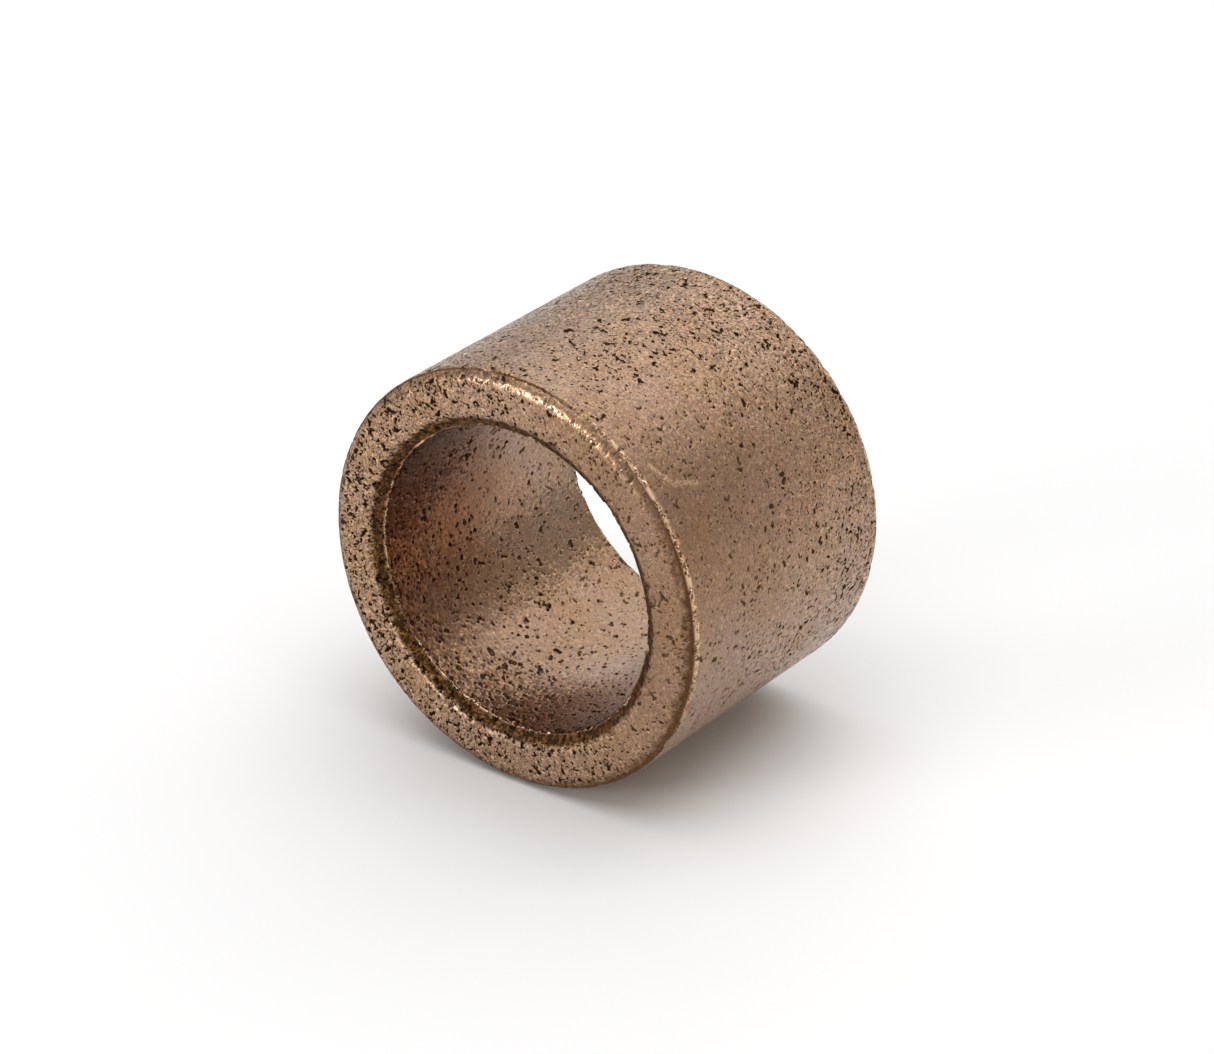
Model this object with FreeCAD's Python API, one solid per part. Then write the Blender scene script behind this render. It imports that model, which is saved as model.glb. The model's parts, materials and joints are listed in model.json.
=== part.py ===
import FreeCAD, Part
import os

# Plain sleeve bushing of sintered bronze, pressed and sintered as one porous ring.
# The axis of the bore runs along +Y, the sleeve lies on its side, and the origin is
# the centre of the bore halfway along the sleeve. Lengths are in millimetres.

# Driving dimensions
OUTER_DIAMETER = 11.0
BORE_DIAMETER = 8.0
SLEEVE_LENGTH = 8.0

# Chamfers, the same at both ends: how far each reaches across the end face and along the axis
OUTER_CHAMFER_RADIAL = 0.20
OUTER_CHAMFER_AXIAL = 0.23
BORE_CHAMFER_RADIAL = 0.36
BORE_CHAMFER_AXIAL = 0.24

SLEEVE_AXIS = FreeCAD.Vector(0, 1, 0)
FULL_TURN = 360.0


def wall_section():
    """Half section of the wall in the XY plane: X is the radius, Y runs along the sleeve."""
    outer_radius = OUTER_DIAMETER / 2
    bore_radius = BORE_DIAMETER / 2
    end = SLEEVE_LENGTH / 2
    outer_wall_end = end - OUTER_CHAMFER_AXIAL
    bore_wall_end = end - BORE_CHAMFER_AXIAL
    far_half = [
        (bore_radius, bore_wall_end),
        (bore_radius + BORE_CHAMFER_RADIAL, end),
        (outer_radius - OUTER_CHAMFER_RADIAL, end),
        (outer_radius, outer_wall_end),
    ]
    near_half = [(radius, -along) for radius, along in reversed(far_half)]
    corners = [FreeCAD.Vector(radius, along, 0) for radius, along in far_half + near_half]
    return Part.Face(Part.makePolygon(corners + corners[:1]))


def make_bushing():
    """The whole bushing: the wall section turned once around the sleeve's axis."""
    return wall_section().revolve(FreeCAD.Vector(0, 0, 0), SLEEVE_AXIS, FULL_TURN)


os.makedirs("parts", exist_ok=True)
bushing = make_bushing()
bushing.exportStep("parts/bushing.step")
print(f"bushing: {bushing.ShapeType}, valid {bushing.isValid()}, volume {bushing.Volume:.2f} mm3")
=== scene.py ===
import json
import math

import bpy
import numpy as np
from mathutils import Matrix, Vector


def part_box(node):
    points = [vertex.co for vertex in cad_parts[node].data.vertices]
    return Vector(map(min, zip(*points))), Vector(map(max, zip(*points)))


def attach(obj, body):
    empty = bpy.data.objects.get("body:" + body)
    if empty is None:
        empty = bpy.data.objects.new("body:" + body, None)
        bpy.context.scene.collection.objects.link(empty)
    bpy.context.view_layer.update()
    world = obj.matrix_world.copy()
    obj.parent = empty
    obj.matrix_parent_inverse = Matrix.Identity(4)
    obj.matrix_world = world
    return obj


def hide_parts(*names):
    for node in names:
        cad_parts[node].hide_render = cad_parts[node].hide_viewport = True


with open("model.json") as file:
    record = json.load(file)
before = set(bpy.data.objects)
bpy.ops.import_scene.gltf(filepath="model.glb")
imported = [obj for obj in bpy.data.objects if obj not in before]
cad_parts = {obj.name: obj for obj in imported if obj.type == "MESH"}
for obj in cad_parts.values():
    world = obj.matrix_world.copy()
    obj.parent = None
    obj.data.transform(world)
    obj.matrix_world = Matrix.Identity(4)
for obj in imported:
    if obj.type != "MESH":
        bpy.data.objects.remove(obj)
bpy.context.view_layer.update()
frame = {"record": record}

# ---------------------------------------------------------------- sizes, in metres
MM = 0.001
LOW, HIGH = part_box("bushing")
MOUNTS = {mount["name"]: mount for mount in frame["record"]["mounts"]}

OUTER_RADIUS = min(HIGH.x, HIGH.z)
BORE_RADIUS = MOUNTS["bore"]["dims"]["r_mm"] * MM
END = HIGH.y
OUTER_WALL_END = MOUNTS["outer_wall"]["dims"]["length_mm"] * MM / 2
BORE_WALL_END = MOUNTS["bore"]["dims"]["length_mm"] * MM / 2

# How far each chamfer reaches across the end face, and the flat ring that they leave
OUTER_CHAMFER = 0.20 * MM
BORE_CHAMFER = 0.36 * MM
FACE_INNER = BORE_RADIUS + BORE_CHAMFER
FACE_OUTER = OUTER_RADIUS - OUTER_CHAMFER

# How far back from each corner its worn rounding starts
BORE_EDGE_WEAR = 0.05 * MM
BORE_RIM_WEAR = 0.09 * MM
OUTER_RIM_WEAR = 0.20 * MM
OUTER_EDGE_WEAR = 0.09 * MM

# Mesh spacing: across flats and walls, and the number of steps in each rounded corner
CELL = 0.035 * MM
CORNER_STEPS = 6

# How often numbers that jump between stretches are averaged with their neighbours
ZONE_BLENDS = 4

RANDOM_SEED = 20


# ---------------------------------------------------------------- section of the wall
def section_corners():
    """The eight corners of the wall's half section as (radius, along, rounding, name of the
    stretch that follows), from the front of the bore outwards and round to its back."""
    return [
        (BORE_RADIUS, -BORE_WALL_END, BORE_EDGE_WEAR, "bore_chamfer"),
        (FACE_INNER, -END, BORE_RIM_WEAR, "face"),
        (FACE_OUTER, -END, OUTER_RIM_WEAR, "outer_chamfer"),
        (OUTER_RADIUS, -OUTER_WALL_END, OUTER_EDGE_WEAR, "outer_wall"),
        (OUTER_RADIUS, OUTER_WALL_END, OUTER_EDGE_WEAR, "outer_chamfer"),
        (FACE_OUTER, END, OUTER_RIM_WEAR, "face"),
        (FACE_INNER, END, BORE_RIM_WEAR, "bore_chamfer"),
        (BORE_RADIUS, BORE_WALL_END, BORE_EDGE_WEAR, "bore"),
    ]


def unit(vector):
    return vector / np.linalg.norm(vector)


def corner_arc(before, corner, after, rounding):
    """Points around one rounded corner, each with how far round it lies, from 0 to 1."""
    into = unit(before - corner)
    out = unit(after - corner)
    shares = [step / CORNER_STEPS for step in range(CORNER_STEPS + 1)]
    return [(corner + into * rounding * (1 - t) ** 2 + out * rounding * t**2, t) for t in shares]


def straight_run(start, finish):
    """Points about a cell apart between two places, without the two ends."""
    cells = max(2, round(np.linalg.norm(finish - start) / CELL))
    return [start + (finish - start) * k / cells for k in range(1, cells)]


def rounded_section():
    """Points once around the section with every corner rounded, as an array of (radius, along),
    and the name of the stretch that each point belongs to."""
    corners = section_corners()
    places = [np.array(corner[:2]) for corner in corners]
    points = []
    names = []
    for i, (_, _, rounding, name) in enumerate(corners):
        following = (i + 1) % len(corners)
        corner, after = places[i], places[following]
        for point, share in corner_arc(places[i - 1], corner, after, rounding):
            points.append(point)
            names.append(name if share > 0.5 else corners[i - 1][3])
        out = unit(after - corner)
        run = straight_run(corner + out * rounding, after - out * corners[following][2])
        points += run
        names += [name] * len(run)
    return np.array(points), np.array(names)


def section_normals(points):
    """Unit normals of the closed section, pointing out of the metal, as (radius, along)."""
    tangent = np.roll(points, -1, axis=0) - np.roll(points, 1, axis=0)
    tangent /= np.linalg.norm(tangent, axis=1)[:, None]
    return np.stack([tangent[:, 1], -tangent[:, 0]], axis=1)


# ---------------------------------------------------------------- the surface as a grid
class Surface:
    """The bushing's skin as a grid of angle (rows) by place along the section (columns)."""

    def __init__(self):
        self.section, self.zone = rounded_section()
        self.normal = section_normals(self.section)
        self.rows = round(2 * math.pi * OUTER_RADIUS / CELL)
        self.columns = len(self.section)
        self.angle = np.arange(self.rows) * 2 * math.pi / self.rows - math.pi / 2
        steps = np.linalg.norm(np.roll(self.section, -1, axis=0) - self.section, axis=1)
        self.length = steps.sum()
        self.station = np.concatenate([[0], np.cumsum(steps)[:-1]])
        self.radius = self.section[:, 0]
        self.along = self.section[:, 1]

    def blended(self, values):
        """Numbers along the section, each blended with its neighbours."""
        for _ in range(ZONE_BLENDS):
            values = (np.roll(values, 1) + 2 * values + np.roll(values, -1)) / 4
        return values

    def corner_nearness(self, kind, reach):
        """For each point of the section, 1 on one kind of corner at either end, falling to 0 at
        its reach. The kinds are 0 for the bore edge, 1 for the bore rim, 2 for the outer rim and
        3 for the outer edge."""
        corners = section_corners()
        near_gap, far_gap = [
            np.linalg.norm(self.section - np.array(corners[i][:2]), axis=1) for i in (kind, -1 - kind)
        ]
        return np.clip(1 - np.minimum(near_gap, far_gap) / reach, 0, 1)

    def chamfer_depth(self, name, wall_end):
        """How far down a chamfer each point lies, from 0 at the face to 1 at the wall, and 0 off
        the chamfer."""
        depth = (END - np.abs(self.along)) / (END - wall_end)
        return np.clip(depth, 0, 1) * (self.zone == name)

    def spread(self, along_section):
        """The same numbers along the section at every angle."""
        return np.ones((self.rows, 1)) * along_section[None, :]

    def smooth_noise(self, random, blob):
        """Random field with zero mean and unit spread, with features about blob metres wide."""
        field = random.standard_normal((self.rows, self.columns))
        across = np.fft.fftfreq(self.rows, 2 * math.pi * OUTER_RADIUS / self.rows)
        up = np.fft.fftfreq(self.columns, self.length / self.columns)
        frequency = np.sqrt(across[:, None] ** 2 + up[None, :] ** 2)
        keep = np.exp(-((frequency * blob) ** 2) * 2)
        field = np.fft.ifft2(np.fft.fft2(field) * keep).real
        return field / field.std()


# ---------------------------------------------------------------- rubbing
# Where the sleeve was rubbed smooth: a place on the rim at the front, and how far it reaches
RUB_ANGLE = math.radians(15)
RUB_REACH = 10.5 * MM

# How coarse the powder grain shows on each stretch, where nothing is rubbed
STRETCH_COARSENESS = {
    "bore": 0.30,
    "bore_chamfer": 0.9,
    "face": 0.9,
    "outer_chamfer": 0.8,
    "outer_wall": 1.0,
}

# What rubbing makes of that: a factor where there is none, how much full rubbing takes off it,
# and its limits
UNRUBBED_GRAIN = 1.42
GRAIN_RUBBED_OFF = 1.45
LEAST_GRAIN, MOST_GRAIN = 0.35, 1.15


def rubbing(surface):
    """How much each grid point was rubbed smooth, from 1 at the rubbed place to 0 at its reach."""
    angle = surface.angle[:, None] - RUB_ANGLE
    radius = surface.radius[None, :]
    chord = radius**2 + OUTER_RADIUS**2 - 2 * radius * OUTER_RADIUS * np.cos(angle)
    gap = np.sqrt(chord + (surface.along[None, :] + END) ** 2)
    return np.clip(1 - gap / RUB_REACH, 0, 1)


def coarseness(surface):
    """How coarse the powder grain shows at each grid point, from 0 polished to about 1."""
    stretch = surface.blended(np.array([STRETCH_COARSENESS[name] for name in surface.zone]))
    left = UNRUBBED_GRAIN - GRAIN_RUBBED_OFF * rubbing(surface)
    return stretch[None, :] * np.clip(left, LEAST_GRAIN, MOST_GRAIN)


# ---------------------------------------------------------------- pores
# Pores per square millimetre of each stretch
PORES_PER_MM2 = {
    "bore": 30.0,
    "bore_chamfer": 75.0,
    "face": 72.0,
    "outer_chamfer": 28.0,
    "outer_wall": 56.0,
}

# Half widths: the middle one, how much wider they are in the bore, the spread of their
# logarithms, and the largest
PORE_HALF_WIDTH = 0.0215 * MM
BORE_PORE_WIDENING = 1.12
PORE_SPREAD = 0.45
LARGEST_HALF_WIDTH = 0.064 * MM
PORE_DEPTH = 1.2  # times its half width

# Crowding, as a factor on the pores per square millimetre: where nothing is rubbed, how uneven
# it is and in patches of what size, how much full rubbing takes off, and its limits
UNRUBBED_CROWDING = 1.3
PATCHINESS = 0.25
PATCH_SIZE = 1.6 * MM
RUB_THINNING = 1.3
FACE_RUB_THINNING = 0.65
LEAST_CROWDING, MOST_CROWDING = 0.35, 2.5

# A pore is a chain of round pits: how many and how likely, and for each pit its size against
# the pore's half width, the most it turns off the last heading, and its distance in its sizes
CHAIN_LENGTHS = [1, 2, 3]
CHAIN_CHANCES = [0.45, 0.37, 0.18]
PIT_SIZES = (0.7, 1.15)
PIT_TURN = 0.9
PIT_STEP = 1.25

# Half of the window that a pore is stamped in, in its half widths: for the pore and for each pit
WINDOW_BASE = 2.0
WINDOW_PER_PIT = 1.6

# The raggedness of the pores' outlines, and its size; a level under UNTOUCHED has no pore near
RAGGEDNESS = 0.22
RAGGED_SIZE = 0.09 * MM
UNTOUCHED = -0.9


def crowding(surface, random):
    """How crowded the pores are over the grid: patchy, and sparser where the sleeve was rubbed."""
    patches = surface.smooth_noise(random, PATCH_SIZE)
    thinning = np.where(surface.zone == "face", FACE_RUB_THINNING, RUB_THINNING)[None, :]
    crowd = UNRUBBED_CROWDING + PATCHINESS * patches - thinning * rubbing(surface)
    return np.clip(crowd, LEAST_CROWDING, MOST_CROWDING)


def place_pores(surface, crowd, random):
    """(row, column, half width) of every pore."""
    found = []
    for zone, per_mm2 in PORES_PER_MM2.items():
        columns = np.flatnonzero(surface.zone == zone)
        width = np.gradient(surface.station)[columns]
        area = 2 * math.pi * surface.radius[columns] * np.abs(width)
        tries = int(area.sum() / MM**2 * per_mm2 * crowd.max())
        column = random.choice(columns, tries, p=area / area.sum())
        row = random.integers(0, surface.rows, tries)
        kept = random.random(tries) * crowd.max() < crowd[row, column]
        half = PORE_HALF_WIDTH * np.exp(PORE_SPREAD * random.standard_normal(tries))
        if zone == "bore":
            half *= BORE_PORE_WIDENING
        half = np.minimum(half, LARGEST_HALF_WIDTH)
        found += zip(row[kept], column[kept], half[kept])
    return found


def stamp_pore(surface, level, depth, row, column, half, random):
    """Presses one ragged pore, a short chain of round pits, into the level and depth grids."""
    pits = random.choice(CHAIN_LENGTHS, p=CHAIN_CHANCES)
    heading = random.uniform(0, 2 * math.pi)
    row_size = 2 * math.pi * surface.radius[column] / surface.rows
    reach = half * (WINDOW_BASE + WINDOW_PER_PIT * pits)
    rows = int(reach / row_size) + 1
    columns = np.flatnonzero(np.abs(surface.station - surface.station[column]) < reach)
    span = np.arange(row - rows, row + rows + 1)
    window = np.ix_(span % surface.rows, columns)
    x = (span - row)[:, None] * row_size
    y = (surface.station[columns] - surface.station[column])[None, :]
    pit_x = pit_y = 0.0
    for _ in range(pits):
        size = half * random.uniform(*PIT_SIZES)
        inside = 1 - np.sqrt((x - pit_x) ** 2 + (y - pit_y) ** 2) / size
        level[window] = np.maximum(level[window], inside)
        depth[window] = np.maximum(depth[window], np.clip(inside, 0, 1) * size)
        heading += random.uniform(-PIT_TURN, PIT_TURN)
        pit_x += math.cos(heading) * size * PIT_STEP
        pit_y += math.sin(heading) * size * PIT_STEP


def press_pores(surface, random):
    """The pore level of every grid point, from -1 far from a pore to 1 in its middle, and how
    deep the pore is there."""
    level = np.full((surface.rows, surface.columns), -1.0)
    depth = np.zeros_like(level)
    for row, column, half in place_pores(surface, crowding(surface, random), random):
        stamp_pore(surface, level, depth, row, column, half, random)
    ragged = surface.smooth_noise(random, RAGGED_SIZE)
    level = np.clip(level + RAGGEDNESS * ragged * (level > UNTOUCHED), -1, 1)
    return level, depth


# ---------------------------------------------------------------- marks
# Painted shade in the bore, darker and redder patches near its front: the angle of each in
# degrees, how far along it is and how far it reaches in millimetres, and how sharply all of them end
BORE_SHADE_PATCHES = [(172, -2.6, 3.6), (294, -3.5, 2.6)]
BORE_SHADE_SHARPNESS = 4

# The brown of the outer chamfers, partly real and partly painted shade at the sides and bottom:
# how far down them it starts along the lit top, how far in from the rim a fringe of painted shade
# reaches at the sides, and how strong that fringe is
BROWN_AND_SHADE_START_ON_TOP = 0.8
SHADE_FRINGE = 0.13 * MM
SHADE_FRINGE_STRENGTH = 0.24

# A light scratch on the outer wall: its points as (angle in degrees, millimetres along)
SCRATCH = [(47.4, -3.3), (44.6, -3.2), (40.6, -2.97), (37.6, -2.2)]
SCRATCH_WIDTH = 0.10 * MM

# Worn bright lines on the bore edge, bore rim, outer rim and outer edge, in that order, partly
# real wear and partly painted highlight: how far each reaches, how strong it is, its middle as
# an angle in degrees where the lamps' highlight falls, and how quickly it fades out on the way
# round from there
WEAR_AND_HIGHLIGHT_LINES = [
    (0.10 * MM, 0.6, 0, 0.0),
    (0.08 * MM, 0.7, 235, 3.0),
    (0.20 * MM, 0.7, 77, 3.0),
    (0.12 * MM, 1.0, 22, 2.0),
]
SHINE_AT_MIDDLE = 1.1  # over 1, so that the full shine holds for a stretch


def painted_bore_shade(surface):
    """How much painted shade each grid point takes: soft dark patches in the bore, near its front."""
    bore_shade = np.zeros((surface.rows, surface.columns))
    for degrees, along, reach in BORE_SHADE_PATCHES:
        turn = np.angle(np.exp(1j * (surface.angle - math.radians(degrees))))
        gap = np.hypot(turn[:, None] * BORE_RADIUS, surface.along[None, :] - along * MM) / (reach * MM)
        bore_shade = np.maximum(bore_shade, np.exp(-(gap**BORE_SHADE_SHARPNESS)))
    return bore_shade * (surface.zone == "bore")[None, :]


def outer_brown_and_shade(surface):
    """How far the brown of the outer chamfers, with painted shade, has come in: from a fringe of
    painted shade on the face at the sides and bottom, and only beside the wall along the lit top."""
    topmost = np.clip(np.sin(surface.angle), 0, 1)[:, None]
    depth = surface.chamfer_depth("outer_chamfer", OUTER_WALL_END)[None, :]
    start = BROWN_AND_SHADE_START_ON_TOP * topmost
    brown = np.clip((depth - start) / (1 - start), 0, 1)
    inside_rim = np.maximum(FACE_OUTER - surface.radius, 0)
    on_rim = np.isin(surface.zone, ("face", "outer_chamfer"))
    fringe = np.clip(1 - inside_rim / SHADE_FRINGE, 0, 1) * on_rim
    return np.maximum(brown, SHADE_FRINGE_STRENGTH * fringe[None, :] * (1 - topmost))


def scratching(surface):
    """1 along the scratch on the outer wall, falling to 0 beside it."""
    x = surface.angle[:, None] * OUTER_RADIUS
    y = surface.along[None, :]
    places = [np.array([math.radians(degrees) * OUTER_RADIUS, along * MM]) for degrees, along in SCRATCH]
    near = np.zeros((surface.rows, surface.columns))
    for start, finish in zip(places, places[1:]):
        run = finish - start
        share = np.clip(((x - start[0]) * run[0] + (y - start[1]) * run[1]) / (run @ run), 0, 1)
        gap = np.hypot(x - start[0] - share * run[0], y - start[1] - share * run[1])
        near = np.maximum(near, np.clip(1 - gap / SCRATCH_WIDTH, 0, 1))
    return near * (surface.zone == "outer_wall")[None, :]


def wear_and_highlights(surface):
    """How brightly each grid point is worn and painted with highlight, near its corner and round the
    sleeve.
    """
    worn_and_highlit = np.zeros((surface.rows, surface.columns))
    for kind, (reach, strength, middle, fade) in enumerate(WEAR_AND_HIGHLIGHT_LINES):
        turn = surface.angle - math.radians(middle)
        around = np.clip(SHINE_AT_MIDDLE - fade * (1 - np.cos(turn)), 0, 1)
        near = surface.corner_nearness(kind, reach) * strength
        worn_and_highlit = np.maximum(worn_and_highlit, around[:, None] * near[None, :])
    return worn_and_highlit


# ---------------------------------------------------------------- relief
CORNER_KINDS = 4
CRUMBLING_REACH = 0.16 * MM

# Small chips and larger nicks along the corners: their depth, their size, and how far a random
# field has to rise before one starts and until it is full, in its own spreads
CHIP_DEPTH = 0.055 * MM
CHIP_SIZE = 0.17 * MM
CHIP_START = 0.9
CHIP_RISE = 1.5
NICK_DEPTH = 0.11 * MM
NICK_SIZE = 0.45 * MM
NICK_START = 1.2
NICK_RISE = 1.0

# The pressed skin's waviness: its depth, and the size and share of its two kinds
WAVE_DEPTH = 0.004 * MM
WAVE_SIZE, WAVE_SHARE = 0.5 * MM, 0.4
GRAIN_SIZE, GRAIN_SHARE = 0.13 * MM, 0.25
MOST_WAVES = 3

# The pore level from which a pit has its whole depth
PIT_OPEN_LEVEL = 0.5


def relief(surface, level, depth, random):
    """How far every grid point lies below the ideal skin."""
    opened = np.clip(level / PIT_OPEN_LEVEL, 0, 1)
    pits = np.minimum(depth, LARGEST_HALF_WIDTH) * PORE_DEPTH * opened
    corners = [surface.corner_nearness(kind, CRUMBLING_REACH) for kind in range(CORNER_KINDS)]
    near_corner = np.max(corners, axis=0)[None, :]
    crumbs = surface.smooth_noise(random, CHIP_SIZE)
    chips = np.clip(crumbs - CHIP_START, 0, CHIP_RISE) * CHIP_DEPTH * near_corner
    dents = surface.smooth_noise(random, NICK_SIZE)
    nicks = np.clip(dents - NICK_START, 0, NICK_RISE) * NICK_DEPTH * near_corner
    waves = surface.smooth_noise(random, WAVE_SIZE)
    grains = surface.smooth_noise(random, GRAIN_SIZE)
    rolling = WAVE_DEPTH * np.clip(1 + WAVE_SHARE * waves + GRAIN_SHARE * grains, 0, MOST_WAVES)
    return pits + chips + nicks + rolling


# ---------------------------------------------------------------- mesh
def grid_quads(rows, columns):
    """The four point numbers of every quad in a grid that is closed both ways."""
    row = np.arange(rows)[:, None]
    column = np.arange(columns)[None, :]
    next_row = (row + 1) % rows
    next_column = (column + 1) % columns
    corners = [
        row * columns + column,
        row * columns + next_column,
        next_row * columns + next_column,
        next_row * columns + column,
    ]
    return np.stack(corners, axis=2).reshape(-1, 4)


def build_mesh(surface, sunk):
    """The bushing's mesh, with every point sunk below the ideal skin."""
    radius = surface.radius[None, :] - surface.normal[None, :, 0] * sunk
    along = surface.along[None, :] - surface.normal[None, :, 1] * sunk
    angle = surface.angle[:, None]
    points = np.stack([radius * np.cos(angle), along, radius * np.sin(angle)], axis=2)
    quads = grid_quads(surface.rows, surface.columns)
    mesh = bpy.data.meshes.new("bushing_porous")
    mesh.vertices.add(surface.rows * surface.columns)
    mesh.vertices.foreach_set("co", points.ravel())
    mesh.loops.add(quads.size)
    mesh.loops.foreach_set("vertex_index", quads.ravel())
    mesh.polygons.add(len(quads))
    mesh.polygons.foreach_set("loop_start", np.arange(len(quads)) * 4)
    mesh.polygons.foreach_set("use_smooth", np.ones(len(quads), bool))
    mesh.update(calc_edges=True)
    return mesh


def add_field(mesh, name, values):
    """Stores one number per point of the mesh, for the material to read."""
    attribute = mesh.attributes.new(name, "FLOAT", "POINT")
    attribute.data.foreach_set("value", values.astype(np.float32).ravel())


def make_bushing(material):
    random = np.random.default_rng(RANDOM_SEED)
    surface = Surface()
    level, depth = press_pores(surface, random)
    mesh = build_mesh(surface, relief(surface, level, depth, random))
    fields = {
        "pore": level,
        # worn edges with painted highlights
        "edge": wear_and_highlights(surface),
        "bore": surface.spread(surface.blended(surface.zone == "bore")),
        "bore_chamfer": surface.spread(surface.chamfer_depth("bore_chamfer", BORE_WALL_END)),
        # the outer chamfers' brown, with painted shade at the sides and bottom
        "outer_chamfer": outer_brown_and_shade(surface),
        "scratch": scratching(surface),
        "coarse": coarseness(surface),
        # painted shade in the bore
        "bore_shade": painted_bore_shade(surface),
    }
    for name, values in fields.items():
        add_field(mesh, name, values)
    mesh.materials.append(material)
    bushing = bpy.data.objects.new("bushing_porous", mesh)
    bpy.context.scene.collection.objects.link(bushing)
    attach(bushing, "root")
    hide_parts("bushing")


# ---------------------------------------------------------------- material helpers
class Nodes:
    """A short way to write a node tree."""

    def __init__(self, material):
        material.use_nodes = True
        self.tree = material.node_tree
        self.tree.nodes.clear()

    def add(self, kind, inputs=None, **settings):
        node = self.tree.nodes.new(kind)
        for name, value in settings.items():
            setattr(node, name, value)
        for name, value in (inputs or {}).items():
            self.feed(node.inputs[name], value)
        return node

    def feed(self, socket, value):
        if isinstance(value, bpy.types.NodeSocket):
            self.tree.links.new(value, socket)
        else:
            socket.default_value = value

    def math(self, operation, a, b, c=0.0, clamp=False):
        node = self.add("ShaderNodeMath", {0: a, 1: b, 2: c}, operation=operation)
        node.use_clamp = clamp
        return node.outputs[0]

    def times(self, a, b, clamp=False):
        return self.math("MULTIPLY", a, b, clamp=clamp)

    def plus(self, total, share, amount, clamp=False):
        """The total with amount times the share added."""
        return self.math("MULTIPLY_ADD", share, amount, total, clamp=clamp)

    def larger(self, a, b):
        return self.math("MAXIMUM", a, b)

    def vector(self, operation, inputs):
        return self.add("ShaderNodeVectorMath", inputs, operation=operation).outputs[0]

    def remap(self, value, low, high, to_low=0.0, to_high=1.0):
        """The value eased from to_low to to_high as it goes from low to high, and held beyond."""
        inputs = {0: value, 1: low, 2: high, 3: to_low, 4: to_high}
        node = self.add("ShaderNodeMapRange", inputs, interpolation_type="SMOOTHSTEP")
        return node.outputs[0]

    def mix(self, factor, a, b, blend="MIX"):
        node = self.add("ShaderNodeMix", data_type="RGBA", blend_type=blend)
        self.feed(node.inputs["Factor"], factor)
        self.feed(node.inputs[6], a)
        self.feed(node.inputs[7], b)
        return node.outputs[2]

    def noise(self, coordinates, scale, detail=2.0, roughness=0.5, distortion=0.0):
        inputs = {
            "Vector": coordinates,
            "Scale": scale,
            "Detail": detail,
            "Roughness": roughness,
            "Distortion": distortion,
        }
        return self.add("ShaderNodeTexNoise", inputs)

    def cells(self, coordinates, scale, feature="F1"):
        inputs = {"Vector": coordinates, "Scale": scale, "Randomness": 1.0}
        return self.add("ShaderNodeTexVoronoi", inputs, feature=feature)

    def channel(self, colour, index):
        return self.add("ShaderNodeSeparateColor", {0: colour}).outputs[index]

    def field(self, name):
        return self.add("ShaderNodeAttribute", attribute_name=name).outputs["Fac"]


def rgb(red, green, blue):
    return (red, green, blue, 1.0)


# ---------------------------------------------------------------- sintered bronze
# Colours of the bronze, linear
PINK_TAN = rgb(0.435, 0.260, 0.166)
GOLD_TAN = rgb(0.41, 0.228, 0.108)
GRAIN_DARK = rgb(0.12, 0.060, 0.028)
GRAIN_LIGHT = rgb(0.74, 0.49, 0.32)
POLISHED_TINT = rgb(0.73, 0.695, 0.665)
CHAMFER_TINT = rgb(0.50, 0.38, 0.225)
# the tint of the painted shade in the bore
BORE_SHADE_TINT = rgb(0.56, 0.36, 0.20)
# the bright colour of worn edges, also used for painted highlights and glints
WORN_AND_HIGHLIGHT_COLOUR = rgb(0.92, 0.63, 0.41)
# the pores' colours, brown and dark: partly oil soaked into them, partly painted shade in the holes
PORE_BROWN = rgb(0.085, 0.044, 0.020)
# also darkens the outer chamfers, as part of their brown and painted shade
PORE_BLOTCH_AND_SHADE = rgb(0.030, 0.017, 0.008)
PORE_DARK = rgb(0.034, 0.017, 0.007)
SCRATCHED = rgb(0.78, 0.50, 0.29)

# Sizes of the patterns, as how many of their features lie along a millimetre
CLOUDS_PER_MM = 0.55
PATCHES_PER_MM = 3.0
CRACK_PATCHES_PER_MM = 4.0
MOTTLES_PER_MM = 4.5
BLOTCHES_PER_MM = 6.5
RAGGED_PER_MM = 7.0
CRACK_BENDS_PER_MM = 7.0
CRACKS_PER_MM = 7.5
SMALL_PORES_PER_MM = 8.5
FACETS_PER_MM = 14.0
GRAINS_PER_MM = 16.0
FINE_GRAINS_PER_MM = 27.0

CRACK_BEND = 0.12  # millimetres
FACET_TILT = 0.48  # how far a powder grain may turn off the skin, as a share of the normal
WORN_SMOOTHNESS = 0.45  # what is left of the grain on a worn edge

BUMP_STRENGTH = 0.4
BUMP_HEIGHT = 0.018 * MM
COAT_ROUGHNESS = 0.28
COAT_IOR = 1.5
SPECULAR_LEVEL = 0.2


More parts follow.
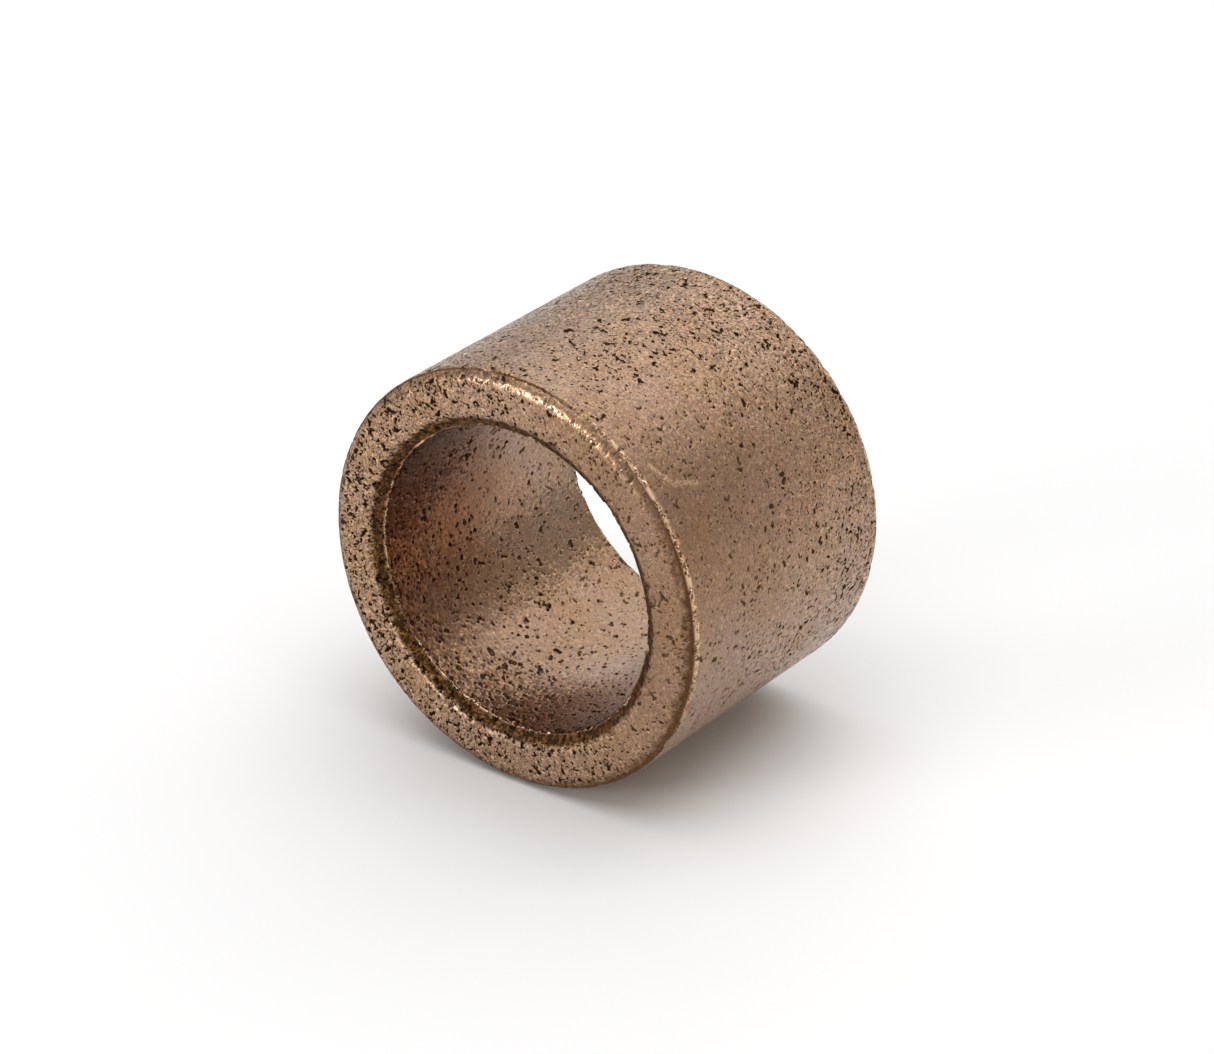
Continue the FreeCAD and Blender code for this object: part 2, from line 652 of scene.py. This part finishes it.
class Skin:
    """The noises and stored fields that several layers of the bronze share."""

    def __init__(self, nodes):
        place = nodes.add("ShaderNodeTexCoord").outputs["Object"]
        self.millimetres = nodes.vector("MULTIPLY", {0: place, 1: (1 / MM,) * 3})
        grain = nodes.noise(self.millimetres, GRAINS_PER_MM, roughness=0.6, distortion=0.4)
        self.grain = grain.outputs["Fac"]
        self.fine = nodes.noise(self.millimetres, FINE_GRAINS_PER_MM, roughness=0.6).outputs["Fac"]
        self.edge = nodes.field("edge")
        self.bore = nodes.field("bore")
        # patches of painted shade in the bore
        self.bore_shade = nodes.field("bore_shade")
        kept = nodes.remap(self.edge, 0.0, 0.6, 1.0, WORN_SMOOTHNESS)
        self.coarse = nodes.times(nodes.field("coarse"), kept)
        ragged = nodes.noise(self.millimetres, RAGGED_PER_MM, detail=3.0, roughness=0.65)
        self.in_chamfer = chamfer_shade(nodes, "bore_chamfer", ragged.outputs["Fac"], 0.05, 0.35)
        # the outer chamfers' brown, with painted shade at the sides and bottom
        self.out_chamfer = chamfer_shade(nodes, "outer_chamfer", ragged.outputs["Fac"], 0.0, 0.5)
        self.chamfer = nodes.larger(self.in_chamfer, self.out_chamfer)
        patches = nodes.noise(self.millimetres, PATCHES_PER_MM).outputs["Fac"]
        broken = nodes.larger(nodes.remap(self.grain, 0.42, 0.58), nodes.remap(patches, 0.48, 0.62))
        # worn edges: partly real wear, partly painted highlight
        self.worn_and_highlit = nodes.times(nodes.remap(self.edge, 0.1, 0.7), broken)


def chamfer_shade(nodes, name, ragged, start, end):
    """How far a chamfer's brown has come in, rising from the face towards the wall between
    start and end of its depth, with a ragged beginning."""
    depth = nodes.field(name)
    shifted = nodes.math("ADD", nodes.plus(depth, ragged, 1.1), -0.55)
    return nodes.times(nodes.remap(shifted, start, end), nodes.remap(depth, 0.0, 0.05))


def small_pores(nodes, skin):
    """Pores too small for the mesh: ragged dots of random size, fewer where it is polished."""
    cells = nodes.cells(skin.millimetres, SMALL_PORES_PER_MM)
    size = nodes.plus(nodes.channel(cells.outputs["Color"], 0), skin.coarse, 0.45)
    reach = nodes.remap(size, 0.58, 1.45, -0.10, 0.34)
    gap = nodes.plus(cells.outputs["Distance"], skin.fine, 0.6)
    gap = nodes.math("ADD", gap, -0.30)
    return nodes.remap(nodes.math("SUBTRACT", reach, gap), -0.04, 0.08)


def facets(nodes, skin):
    """The surface normal with every powder grain turned its own way, and each grain's random
    shade."""
    grains = nodes.cells(skin.millimetres, FACETS_PER_MM)
    off_centre = nodes.vector("SUBTRACT", {0: grains.outputs["Color"], 1: (0.5, 0.5, 0.5)})
    tilt = nodes.vector("SCALE", {0: off_centre, "Scale": nodes.times(skin.coarse, FACET_TILT)})
    normal = nodes.add("ShaderNodeNewGeometry").outputs["Normal"]
    turned = nodes.vector("NORMALIZE", {0: nodes.vector("ADD", {0: normal, 1: tilt})})
    return turned, nodes.channel(grains.outputs["Color"], 1)


def cracks(nodes, skin):
    """Thin dark gaps between neighbouring powder grains, open only here and there."""
    bend = nodes.noise(skin.millimetres, CRACK_BENDS_PER_MM).outputs["Color"]
    bent = nodes.vector("MULTIPLY_ADD", {0: bend, 1: (CRACK_BEND,) * 3, 2: skin.millimetres})
    cells = nodes.cells(bent, CRACKS_PER_MM, feature="DISTANCE_TO_EDGE")
    line = nodes.remap(cells.outputs["Distance"], 0.10, 0.02)
    patches = nodes.noise(skin.millimetres, CRACK_PATCHES_PER_MM, detail=1.0).outputs["Fac"]
    return nodes.times(line, nodes.remap(patches, 0.48, 0.62))


def bare_metal(nodes, skin, shade):
    """The metal before any marks: pinkish and golden clouds with dark and light grains, weak
    where it is polished, and a little darker there, with painted glints on the brightest coarse grains."""
    clouds = nodes.noise(skin.millimetres, CLOUDS_PER_MM, detail=3.0).outputs["Fac"]
    mottle = nodes.noise(skin.millimetres, MOTTLES_PER_MM, roughness=0.6).outputs["Fac"]
    metal = nodes.mix(nodes.remap(clouds, 0.35, 0.65), PINK_TAN, GOLD_TAN)
    metal = nodes.mix(nodes.times(nodes.remap(mottle, 0.46, 0.62), 0.5), metal, GOLD_TAN)
    metal = nodes.mix(nodes.times(nodes.remap(mottle, 0.50, 0.34), 0.3), metal, GRAIN_DARK)
    metal = nodes.mix(nodes.remap(skin.coarse, 0.85, 1.2, 0.0, 0.4), metal, GOLD_TAN)
    metal = nodes.mix(nodes.remap(skin.coarse, 0.9, 0.3), metal, POLISHED_TINT, "MULTIPLY")
    layers = [
        (nodes.remap(skin.grain, 0.48, 0.34), 0.9, GRAIN_DARK),
        (nodes.remap(skin.grain, 0.54, 0.67), 0.65, GRAIN_LIGHT),
        (nodes.remap(shade, 0.84, 0.96), 0.6, GRAIN_LIGHT),
        (nodes.remap(skin.fine, 0.47, 0.33), 0.85, GRAIN_DARK),
        (nodes.remap(skin.fine, 0.56, 0.70), 0.5, GRAIN_LIGHT),
        (cracks(nodes, skin), 0.8, GRAIN_DARK),
    ]
    for share, strength, colour in layers:
        share = nodes.times(share, nodes.times(skin.coarse, strength), clamp=True)
        metal = nodes.mix(share, metal, colour)
    # painted glints: the brightest grains, where the grain is coarsest, take the highlight colour
    glint = nodes.times(nodes.remap(shade, 0.93, 0.96), nodes.remap(skin.coarse, 1.0, 1.15, 0.0, 0.7))
    return nodes.mix(glint, metal, WORN_AND_HIGHLIGHT_COLOUR)


def marked_metal(nodes, skin, metal):
    """The metal with the chamfers' brown and painted shade, the scratch, the bore's painted shade and
    the worn, highlighted edges.
    """
    # the chamfers' brown; on the outer chamfers it also carries painted shade
    metal = nodes.mix(skin.chamfer, metal, CHAMFER_TINT, "MULTIPLY")
    blotches = nodes.noise(skin.millimetres, BLOTCHES_PER_MM, roughness=0.6).outputs["Fac"]
    blotches = nodes.times(nodes.remap(blotches, 0.56, 0.44), nodes.times(skin.in_chamfer, 0.8))
    metal = nodes.mix(blotches, metal, PORE_BLOTCH_AND_SHADE)
    # the outer chamfers darkened: brown and painted shade
    metal = nodes.mix(nodes.times(skin.out_chamfer, 0.35), metal, PORE_BLOTCH_AND_SHADE)
    scratch = nodes.remap(nodes.field("scratch"), 0.0, 0.75)
    scratch = nodes.times(scratch, nodes.remap(skin.grain, 0.35, 0.55))
    metal = nodes.mix(nodes.times(scratch, 0.6), metal, SCRATCHED)
    # painted shade: darker, redder patches in the bore
    metal = nodes.mix(skin.bore_shade, metal, BORE_SHADE_TINT, "MULTIPLY")
    # worn edges in a bright colour: partly real wear, partly painted highlight
    return nodes.mix(nodes.times(skin.worn_and_highlit, 0.75), metal, WORN_AND_HIGHLIGHT_COLOUR)


def roughness(nodes, skin, hollow):
    """Smooth in the bore and on worn edges, dull in the chamfers and pores."""
    rough = nodes.remap(skin.grain, 0.3, 0.7, 0.52, 0.44)
    rough = nodes.plus(rough, skin.in_chamfer, 0.12)
    rough = nodes.plus(rough, skin.out_chamfer, 0.45)
    rough = nodes.plus(rough, skin.bore, -0.31)
    rough = nodes.plus(rough, skin.worn_and_highlit, -0.24)
    return nodes.plus(rough, hollow, 0.4, clamp=True)


def oil_film(nodes, skin, hollow):
    """The weight of the clear coat: fullest in the bore, with none in the pores."""
    oil = nodes.plus(0.7, skin.bore, 0.25)
    oil = nodes.plus(oil, skin.chamfer, -0.65, clamp=True)
    oil = nodes.plus(oil, skin.worn_and_highlit, -0.7, clamp=True)
    # less coat on the bore's patches of painted shade
    oil = nodes.plus(oil, skin.bore_shade, -0.65, clamp=True)
    return nodes.times(oil, nodes.remap(hollow, 0.0, 0.7, 1.0, 0.0))


def bumped_normal(nodes, skin, small, turned):
    """The facets' normal with the grain and the small pores raised and sunk on top."""
    height = nodes.plus(nodes.times(skin.grain, 0.5), skin.fine, 0.5)
    height = nodes.plus(height, small, -1.2)
    inputs = {"Height": height, "Strength": BUMP_STRENGTH, "Distance": BUMP_HEIGHT, "Normal": turned}
    return nodes.add("ShaderNodeBump", inputs).outputs[0]


def sintered_bronze():
    material = bpy.data.materials.new("sintered_bronze")
    nodes = Nodes(material)
    skin = Skin(nodes)
    turned, shade = facets(nodes, skin)
    metal = marked_metal(nodes, skin, bare_metal(nodes, skin, shade))

    small = small_pores(nodes, skin)
    level = nodes.field("pore")
    # pores darken towards their middles: partly oil, partly painted shade in the holes
    pore = nodes.times(nodes.remap(level, 0.0, 0.3), nodes.remap(skin.coarse, 0.3, 0.8, 0.6, 1.0))
    hollow = nodes.larger(pore, nodes.times(small, 0.8))
    hole = nodes.mix(nodes.remap(level, 0.3, 0.9), PORE_BROWN, PORE_DARK)
    # small pores painted dark brown: partly oil, partly painted shade
    colour = nodes.mix(nodes.times(small, 0.9), metal, PORE_BROWN)

    inputs = {
        "Base Color": nodes.mix(pore, colour, hole),
        "Roughness": roughness(nodes, skin, hollow),
        "Metallic": nodes.plus(1.0, skin.out_chamfer, -0.95),
        "Normal": bumped_normal(nodes, skin, small, turned),
        "Coat Weight": oil_film(nodes, skin, hollow),
        "Coat Roughness": COAT_ROUGHNESS,
        "Coat IOR": COAT_IOR,
        "Specular IOR Level": SPECULAR_LEVEL,
    }
    shader = nodes.add("ShaderNodeBsdfPrincipled", inputs)
    nodes.add("ShaderNodeOutputMaterial", {"Surface": shader.outputs[0]})
    return material


# ---------------------------------------------------------------- stage
FLOOR_RADIUS = 0.5
FLOOR_CORNERS = 96
FLOOR_COLOUR = rgb(0.90, 0.90, 0.90)
FLOOR_ROUGHNESS = 0.9

# The room's brightness on the camera's side and behind the bushing, and between which places
# along Y it changes
ROOM_NEAR, ROOM_BEHIND = 0.22, 0.50
ROOM_FADE = (-0.6, 0.8)

# The lamps: the direction each stands in, its distance, width, depth and power, and its colour
WHITE_LIGHT = (1.0, 1.0, 1.0)
WARM_LIGHT = (1.0, 0.84, 0.62)
LAMPS = {
    "back_softbox": ((-0.17, 0.70, 0.66), 0.32, 0.42, 0.26, 0.28, WHITE_LIGHT),
    "overhead_softbox": ((0.05, -0.10, 1.0), 0.36, 0.40, 0.40, 1.05, WHITE_LIGHT),
    "front_strip": ((-0.42, -0.87, 0.26), 0.30, 0.12, 0.10, 0.27, WHITE_LIGHT),
    "side_strip": ((1.0, 0.08, 0.15), 0.30, 0.08, 0.05, 0.09, WARM_LIGHT),
    "side_fill": ((0.60, 0.70, 0.38), 0.34, 0.34, 0.26, 0.022, WARM_LIGHT),
}

CAMERA_AZIMUTH = math.radians(36.8)
CAMERA_ELEVATION = math.radians(27.4)
CAMERA_DISTANCE = 116.7 * MM
CAMERA_LENS = 140.0
CAMERA_SENSOR = 36.0
CAMERA_CLIP = (0.01, 10.0)
AIM_BELOW_CENTRE = 0.087 * MM


def make_floor():
    material = bpy.data.materials.new("pale_floor")
    nodes = Nodes(material)
    inputs = {"Base Color": FLOOR_COLOUR, "Roughness": FLOOR_ROUGHNESS}
    shader = nodes.add("ShaderNodeBsdfPrincipled", inputs)
    nodes.add("ShaderNodeOutputMaterial", {"Surface": shader.outputs[0]})
    bpy.ops.mesh.primitive_circle_add(
        vertices=FLOOR_CORNERS, radius=FLOOR_RADIUS, fill_type="NGON", location=(0, 0, LOW.z)
    )
    floor = bpy.context.object
    floor.name = "floor"
    floor.data.materials.append(material)


def softbox(name, direction, distance, width, depth, power, colour):
    """A rectangular area light that faces the bushing from a direction."""
    light = bpy.data.lights.new(name, "AREA")
    light.shape = "RECTANGLE"
    light.size = width
    light.size_y = depth
    light.energy = power
    light.color = colour
    lamp = bpy.data.objects.new(name, light)
    way = Vector(direction).normalized()
    lamp.location = way * distance
    lamp.rotation_mode = "QUATERNION"
    lamp.rotation_quaternion = way.to_track_quat("Z", "Y")
    lamp.visible_camera = False
    bpy.context.scene.collection.objects.link(lamp)


def make_world():
    """A pale room, brighter behind the bushing than on the camera's side."""
    world = bpy.data.worlds.new("studio")
    world.use_nodes = True
    tree = world.node_tree
    way = tree.nodes.new("ShaderNodeTexCoord").outputs["Generated"]
    split = tree.nodes.new("ShaderNodeSeparateXYZ")
    tree.links.new(way, split.inputs[0])
    fade = tree.nodes.new("ShaderNodeMapRange")
    fade.interpolation_type = "SMOOTHSTEP"
    fade.inputs["From Min"].default_value = ROOM_FADE[0]
    fade.inputs["From Max"].default_value = ROOM_FADE[1]
    fade.inputs["To Min"].default_value = ROOM_NEAR
    fade.inputs["To Max"].default_value = ROOM_BEHIND
    tree.links.new(split.outputs["Y"], fade.inputs["Value"])
    tree.links.new(fade.outputs[0], tree.nodes["Background"].inputs["Color"])
    bpy.context.scene.world = world


def make_lights():
    for name, settings in LAMPS.items():
        softbox(name, *settings)
    make_world()


def make_camera():
    camera = bpy.data.cameras.new("camera")
    camera.lens = CAMERA_LENS
    camera.sensor_width = CAMERA_SENSOR
    camera.clip_start, camera.clip_end = CAMERA_CLIP
    holder = bpy.data.objects.new("camera", camera)
    level = math.cos(CAMERA_ELEVATION)
    towards = Vector((
        math.sin(CAMERA_AZIMUTH) * level,
        -math.cos(CAMERA_AZIMUTH) * level,
        math.sin(CAMERA_ELEVATION),
    ))
    holder.rotation_mode = "QUATERNION"
    holder.rotation_quaternion = towards.to_track_quat("Z", "Y")
    up = holder.rotation_quaternion @ Vector((0, 1, 0))
    holder.location = towards * CAMERA_DISTANCE - up * AIM_BELOW_CENTRE
    bpy.context.scene.collection.objects.link(holder)
    bpy.context.scene.camera = holder


make_bushing(sintered_bronze())
make_floor()
make_lights()
make_camera()
bpy.context.scene.view_settings.view_transform = "Standard"
